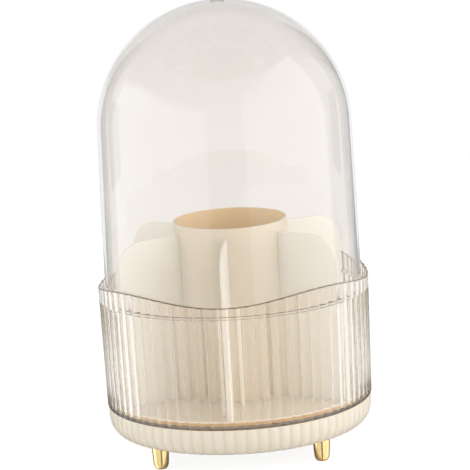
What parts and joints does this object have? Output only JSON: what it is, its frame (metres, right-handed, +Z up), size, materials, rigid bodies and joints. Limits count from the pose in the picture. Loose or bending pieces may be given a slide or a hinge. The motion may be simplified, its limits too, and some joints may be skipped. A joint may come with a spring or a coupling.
{
  "type": "makeup organizer",
  "caption": "Round countertop makeup organizer: clear domed lift-off cover over a ribbed tank with a tall cup and dividers, turning on a fluted base bowl with short feet.",
  "frame": {"origin": "on the floor under the middle of the base, in the plane that the feet stand on", "axes": "+Z up along the axis that the tank turns about; -Y is the front, where a divider points and the rim is low"},
  "size_m": [0.1994, 0.1994, 0.3336],
  "materials": {
    "bowl_plastic": "satin cream",
    "foot_gold": "gold electroplated",
    "screw_steel": "zinc plated",
    "ball_steel": "polished",
    "race_plastic": "matt white",
    "tank_clear": "clear, tea tint",
    "tray_plastic": "glossy beige",
    "cup_plastic": "glossy beige",
    "divider_plastic": "glossy beige",
    "cover_clear": "clear, polished"
  },
  "bodies": {
    "base": {"base_shell": "bowl_plastic", "foot_1": "foot_gold", "foot_2": "foot_gold", "foot_3": "foot_gold", "foot_4": "foot_gold", "foot_screws": "screw_steel"},
    "ball_ring": {"ball_cage": "race_plastic", "bearing_balls": "ball_steel"},
    "carousel": {"turntable_plate": "race_plastic", "pivot_washer": "screw_steel", "pivot_screw": "screw_steel", "tank_screws": "screw_steel", "tank": "tank_clear", "tray": "tray_plastic", "cup": "cup_plastic", "divider_1": "divider_plastic", "divider_2": "divider_plastic", "divider_3": "divider_plastic", "divider_4": "divider_plastic", "divider_5": "divider_plastic", "divider_6": "divider_plastic"},
    "cover": {"cover_wall": "cover_clear", "cover_top": "cover_clear"}
  },
  "joints": [
    {"name": "carousel_turn", "type": "hinge", "parent": "base", "child": "carousel", "pos_m": [0, 0, 0.0365], "axis": [0, 0, 1], "continuous": true},
    {"name": "ball_ring_turn", "type": "hinge", "parent": "base", "child": "ball_ring", "pos_m": [0, 0, 0.0275], "axis": [0, 0, 1], "continuous": true},
    {"name": "cover_lift", "type": "slide", "parent": "carousel", "child": "cover", "axis": [0, 0, 1], "range_m": [0, 0.2]}
  ],
  "couplings": [
    {"joint": "ball_ring_turn", "follows": "carousel_turn", "ratio": 0.5}
  ]
}
